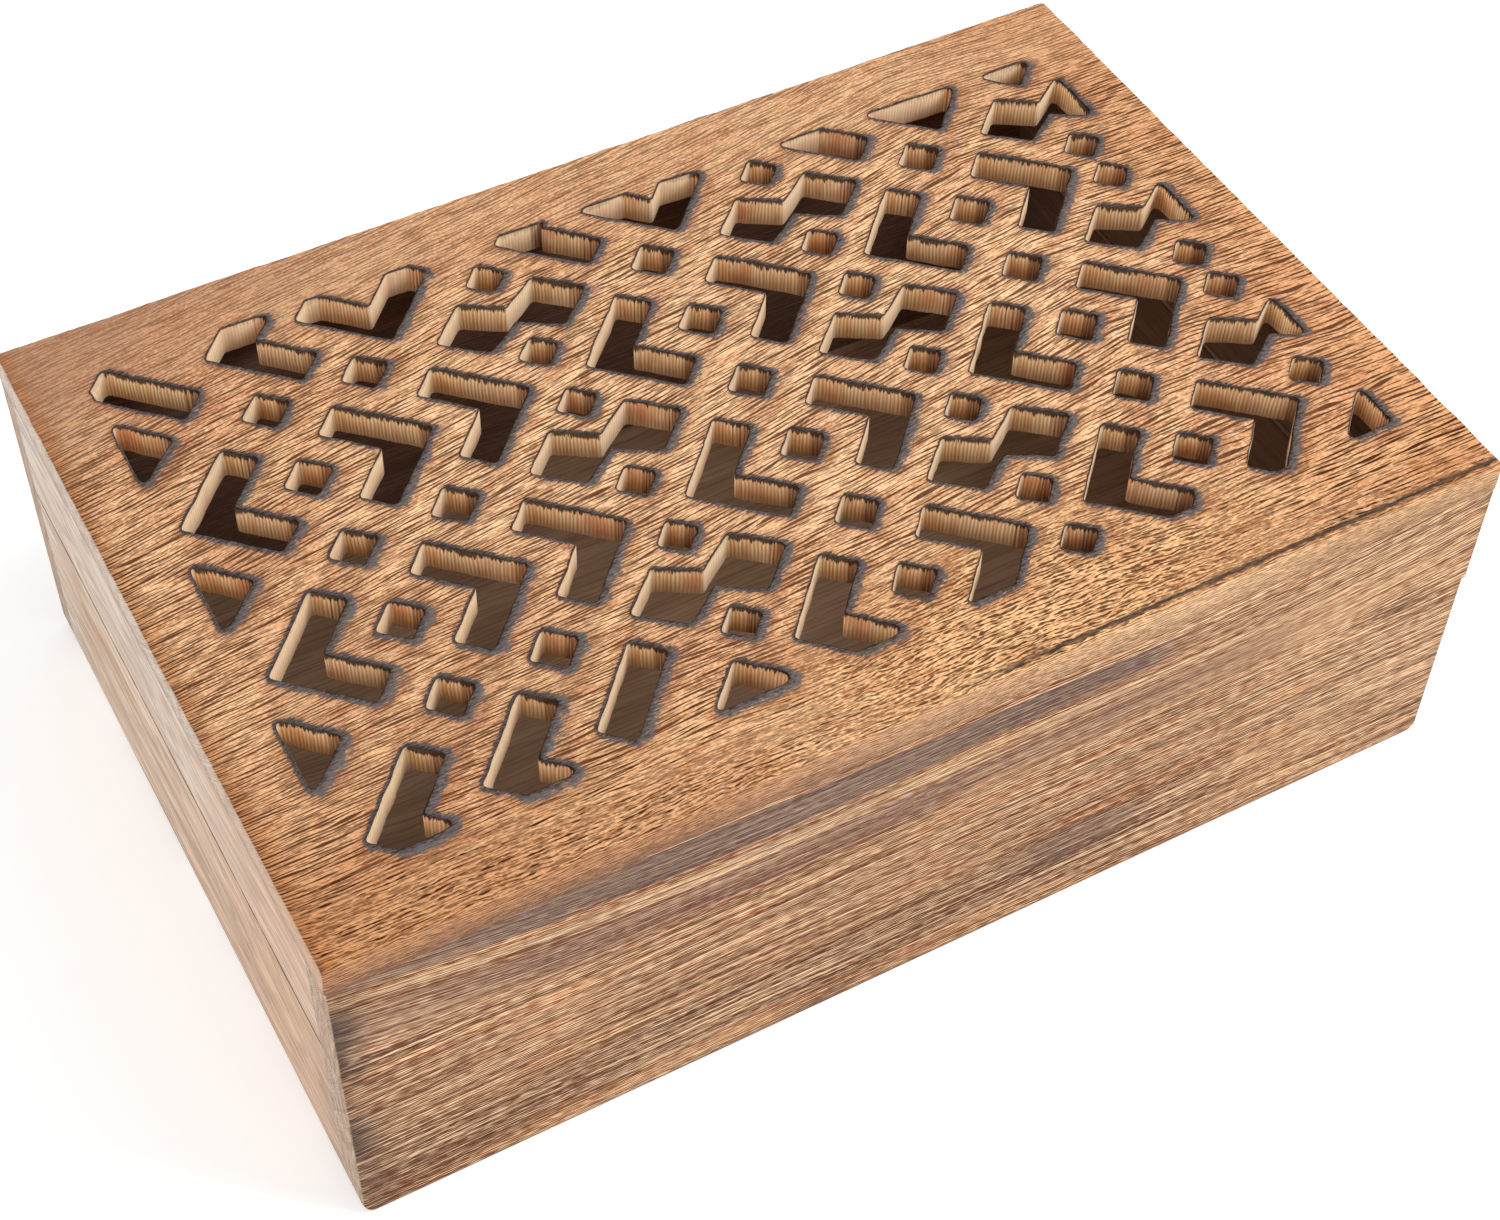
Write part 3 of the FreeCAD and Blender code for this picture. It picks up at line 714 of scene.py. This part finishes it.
def front_wood():
    """Front and back boards: long fine grain, dusky heartwood under pale arcs, scorched corners."""
    g = Graph("wall_wood")
    up = g.z - SEAM
    left_end = g.math("MAXIMUM", -40 - g.x, 0.0)
    right_end = g.math("MAXIMUM", g.x - 60, 0.0)
    arch = (left_end * left_end + right_end * right_end) * 0.00085 * g.rise(up, -10, 22)
    ring = waves(g, g.x, up - arch, 0.5)
    bent = ring + (g.y + FRONT) * ROUND_EDGE
    furrow = furrows(g, g.x, bent, 0.75, 40.0, 0.15)
    pore = strokes(g, g.x, bent, 0.55, 11.0)
    line = g.noise(g.x / 100, bent / 0.4, detail=0.0)
    fleck = g.noise(g.x / 3.5, bent / 0.36, detail=0.0)
    band = g.noise(g.x / 160, bent / 2.4, detail=2.0)
    tone = g.noise(g.x / 90, bent / 4.5, detail=2.0)
    cloud = g.noise(g.x / 50, bent / 12, detail=3.0)
    base = g.mix(g.rise(band, 0.4, 0.6), (255, 180, 118), (202, 122, 78))
    base = g.mix(g.rise(tone, 0.5, 0.64) * 0.5, base, (162, 110, 82))
    for height, width in PALE_BANDS:
        share = g.rise(abs(ring - height + 5 * (cloud - 0.5)), width, 0.3 * width)
        base = g.mix(share * 0.8, base, (255, 200, 150))
    low = g.rise(up + 10 * (cloud - 0.5), -28, -38) * g.rise(up + 6 * (cloud - 0.5), -54, -48)
    base = g.mix(low * g.rise(g.x, 110, 50) * 0.95, base, (134, 88, 58))
    base = g.mix(g.rise(up, -53, -58) * 0.5, base, (190, 134, 78))

    veil = g.noise(g.x / 26, bent / 2.6, detail=3.0)
    taper = 34 * g.math("MAXIMUM", up - 28, 0.0)
    lens = g.rise(ring, 18.8, 21.4) * g.rise(g.x + taper + 30 * (veil - 0.5), 84, 48)
    dusk = g.rise(ring, 0, 5) * g.rise(ring, 14.0, 12.0) * g.rise(g.x + 60 * (cloud - 0.5), 160, 85)
    heart = g.math("MAXIMUM", lens, dusk * 0.8) * g.rise(veil, 0.1, 0.36)
    base = g.mix(heart * 0.95, base, (104, 88, 86))
    arc = g.rise(ring, 13.2, 15.0) * g.rise(ring, 18.6, 16.8) * g.rise(veil, 0.8, 0.5)
    base = g.mix(arc * 0.9, base, (255, 212, 168))
    base = g.mix(g.rise(g.x + 50 * (cloud - 0.5), 50, 130) * 0.75, base, (255, 200, 146))
    base = g.mix(g.rise(g.x + 30 * (cloud - 0.5), -115, -150) * 0.45, base, (150, 106, 78))
    grain = 1.0 - 0.8 * heart - 0.35 * arc
    base = g.mix(g.rise(line, 0.5, 0.64) * (0.2 + 0.55 * grain), base, (104, 50, 20))
    base = g.mix(g.rise(line, 0.5, 0.36) * (0.1 + 0.85 * grain), base, (255, 210, 166))
    base = g.mix(g.rise(fleck, 0.5, 0.34) * (0.1 + 0.35 * grain), base, (255, 224, 184))
    base = g.mix(g.rise(fleck, 0.5, 0.68) * (0.1 + 0.4 * grain), base, (104, 58, 30))
    dark = g.math("MAXIMUM", furrow * 0.85, pore * 0.5)
    base = g.mix(dark * (0.25 + 0.75 * grain), base, (66, 28, 8))

    base = g.mix(spot(g, g.x, up, *SMOKY) * 0.45, base, (104, 86, 80))
    # painted shade: the boards darker along their very bottom, where they stand on the floor
    base = g.mix(g.rise(g.z + (cloud - 0.5) * 3, 1.8, 0.6) * 0.65, base, (80, 54, 40))
    streaky = g.noise(g.x / 9, g.z / 0.9, detail=2.0)
    left = g.x + END + (streaky - 0.5) * 16
    patches = g.math("MAXIMUM", g.rise(abs(up - 12), 17, 5), g.rise(abs(up + 27), 13, 3))
    base = g.mix(g.rise(left, 11, 0) * (0.3 + 0.55 * patches), base, (68, 58, 56))
    base = g.mix(g.rise(END - g.x + (streaky - 0.5) * 8, 3, 0) * 0.4, base, (90, 70, 58))

    speckle = g.noise(g.x / 8, g.y / 1.2, g.z / 6, 3.0)
    end_grain = g.mix(g.rise(speckle, 0.35, 0.65), (204, 178, 156), (168, 142, 122))
    base = g.mix(g.rise(abs(g.nx), 0.5, 0.8), base, end_grain)
    inner = g.rise(abs(g.y), 96, 93) * g.rise(abs(g.x), 150, 146) * g.rise(abs(g.nz), 0.9, 0.6)
    base = g.mix(inner * 0.8, base, (140, 116, 104))
    return g.surface(base, 0.55, line - dark, 0.14, Specular_IOR_Level=MATT)


def end_wood():
    """End boards: pale, smoothly sanded, with faint wide grain along the depth."""
    g = Graph("end_wood")
    up = g.z - SEAM
    bent = waves(g, g.y, g.z + g.x * ROUND_EDGE, 1.6)
    pore = strokes(g, g.y, bent, 0.9, 16.0)
    streak = g.noise(g.y / 40, bent / 1.3, detail=2.0)
    cloud = g.noise(g.y / 60, bent / 9, detail=3.0)
    figure = g.math("FRACT", g.noise(g.y / 85, g.z / 18, g.x / 60, 1.0) * 11)
    contour = g.rise(abs(figure - 0.5), 0.3, 0.1)
    base = g.mix(g.rise(cloud, 0.36, 0.66), (220, 194, 172), (190, 160, 136))
    base = g.mix(g.rise(up, -2, 4) * 0.7, base, (212, 198, 186))
    base = g.mix(g.rise(g.y + (cloud - 0.5) * 60, 0, -70) * 0.55, base, (208, 166, 132))
    corner = g.rise(g.y + (streak - 0.5) * 20, -72, -90) * g.rise(up, 4, -20)
    base = g.mix(corner * 0.6, base, (164, 140, 124))
    base = g.mix(g.rise(g.y + (cloud - 0.5) * 40, 60, 95) * 0.5, base, (214, 206, 194))
    base = g.mix(g.rise(streak, 0.5, 0.36) * 0.3, base, (242, 226, 208))
    base = g.mix(g.rise(streak, 0.5, 0.66) * 0.25, base, (156, 126, 104))
    base = g.mix(contour * (0.3 - 0.25 * g.rise(abs(g.x), 148, 144)), base, (150, 118, 96))
    base = g.mix(pore * 0.2, base, (136, 104, 82))
    chipped = g.noise(g.y / 6, g.z / 2, detail=3.0)
    upright = g.rise(abs(g.nz), 0.9, 0.6)
    # painted shade: a dark line standing for the shadow in the seam's gap, ragged where its edges are
    # chipped
    seam_gap_shade = g.rise(abs(up) + (chipped - 0.5) * 1.4, 0.75, 0.4) * upright
    base = g.mix(seam_gap_shade * 0.9, base, (46, 28, 18))
    inner = g.rise(abs(g.x), 148, 144) * upright
    base = g.mix(inner * 0.6, base, (140, 112, 96))
    return g.surface(base, 0.55, streak - pore, 0.06, Specular_IOR_Level=MATT)


def floor_wood():
    """Floor panel: plain stained board."""
    g = Graph("floor_wood")
    bent = waves(g, g.x, g.y + g.z * ROUND_EDGE, 1.2)
    pore = furrows(g, g.x, bent, 1.5, 16.0, 0.12)
    streak = g.noise(g.x / 60, bent / 0.8, detail=2.0)
    cloud = g.noise(g.x / 120, bent / 8, detail=3.0)
    base = g.mix(g.rise(cloud, 0.35, 0.65), (214, 178, 146), (192, 156, 126))
    base = g.mix(g.rise(streak, 0.45, 0.65) * 0.3, base, (168, 134, 104))
    base = g.mix(pore * 0.3, base, (128, 96, 70))
    return g.surface(base, 0.6, streak - pore, 0.08, Specular_IOR_Level=MATT)


def brass(name, tint, worn):
    """Satin brass with fine scratches and a little tarnish."""
    g = Graph(name)
    tarnish = g.noise(g.x / 3, g.y / 3, g.z / 3, 4.0, 0.6)
    scratch = g.noise(g.x / 2.5, g.y / 0.12, g.z / 0.12, 2.0)
    base = g.mix(g.rise(tarnish, 0.4, 0.7) * worn, tint, (108, 82, 44))
    return g.surface(base, 0.28 + 0.25 * tarnish, scratch, 0.01, Metallic=1.0)


# Stage

def background_rays(tree):
    """1 where a ray shows the background itself: straight to the camera, or by way of metal."""
    path = tree.nodes.new("ShaderNodeLightPath")
    shown = path.outputs["Is Camera Ray"]
    for kind in ("Is Glossy Ray", "Is Transmission Ray"):
        either = tree.nodes.new("ShaderNodeMath")
        either.operation = "MAXIMUM"
        tree.links.new(shown, either.inputs[0])
        tree.links.new(path.outputs[kind], either.inputs[1])
        shown = either.outputs[0]
    return shown


def stage_floor():
    """A floor that takes the box's shadow and is otherwise as white as the background."""
    g = Graph("studio_floor")
    mesh = bpy.data.meshes.new("studio_floor")
    corners = [(x * FLOOR_HALF, y * FLOOR_HALF, 0) for x, y in ((-1, -1), (1, -1), (1, 1), (-1, 1))]
    mesh.from_pydata(corners, [], [(0, 1, 2, 3)])
    obj = bpy.data.objects.new("studio_floor", mesh)
    bpy.context.scene.collection.objects.link(obj)
    diffuse = g.tree.nodes.new("ShaderNodeBsdfDiffuse")
    diffuse.inputs["Color"].default_value = (FLOOR_GREY, FLOOR_GREY, FLOOR_GREY, 1)
    glow = g.tree.nodes.new("ShaderNodeEmission")
    glow.inputs["Color"].default_value = (FLOOR_GLOW, FLOOR_GLOW, FLOOR_GLOW, 1)
    g.tree.links.new(background_rays(g.tree), glow.inputs["Strength"])
    both = g.tree.nodes.new("ShaderNodeAddShader")
    output = g.tree.nodes.new("ShaderNodeOutputMaterial")
    g.tree.links.new(diffuse.outputs[0], both.inputs[0])
    g.tree.links.new(glow.outputs[0], both.inputs[1])
    g.tree.links.new(both.outputs[0], output.inputs[0])
    mesh.materials.append(g.material)


def world_light():
    """Even light from all round, behind a white background."""
    world = bpy.data.worlds.new("studio")
    bpy.context.scene.world = world
    world.use_nodes = True
    tree = world.node_tree
    tree.nodes.clear()
    level = tree.nodes.new("ShaderNodeMapRange")
    level.inputs["To Min"].default_value = WORLD_LEVEL
    level.inputs["To Max"].default_value = 1.0
    tree.links.new(background_rays(tree), level.inputs["Value"])
    background = tree.nodes.new("ShaderNodeBackground")
    background.inputs["Color"].default_value = (1, 1, 1, 1)
    tree.links.new(level.outputs[0], background.inputs["Strength"])
    output = tree.nodes.new("ShaderNodeOutputWorld")
    tree.links.new(background.outputs[0], output.inputs[0])


def lamps():
    for name, (place, size, power) in LAMPS.items():
        lamp = bpy.data.lights.new(name, "AREA")
        lamp.size = size
        lamp.energy = power
        obj = bpy.data.objects.new(name, lamp)
        obj.location = place
        obj.rotation_euler = (-Vector(place)).to_track_quat("-Z", "Y").to_euler()
        bpy.context.scene.collection.objects.link(obj)


def photo_camera():
    camera = bpy.data.cameras.new("camera")
    camera.lens = CAMERA_LENS
    camera.sensor_width = SENSOR_WIDTH
    camera.clip_start = CLIP_START
    obj = bpy.data.objects.new("camera", camera)
    right = Vector(CAMERA_RIGHT).normalized()
    back = right.cross(Vector(CAMERA_UP)).normalized()
    up = back.cross(right)
    place = Matrix((right, up, back)).transposed().to_4x4()
    place.translation = CAMERA_AT
    obj.matrix_world = place
    bpy.context.scene.collection.objects.link(obj)
    bpy.context.scene.camera = obj


def dress(material, names):
    """Gives CAD nodes a material in place of their plain one."""
    for name in names:
        nodes[name].data.materials.clear()
        nodes[name].data.materials.append(material)


bpy.context.scene.view_settings.view_transform = "Standard"
photo_camera()
stage_floor()
world_light()
lamps()

slots = {}
for part in frame["record"]["subparts"]:
    slots.setdefault(part["material_slot"], []).append(part["node"])
fretwork_panel(top_wood())
dress(front_wood(), slots["wall_wood"])
dress(end_wood(), slots["end_wood"])
dress(floor_wood(), slots["floor_wood"])
dress(brass("hinge_brass", (222, 182, 104), 0.5), slots["hinge_brass"])
dress(brass("screw_brass", (208, 168, 96), 0.7), slots["screw_brass"])
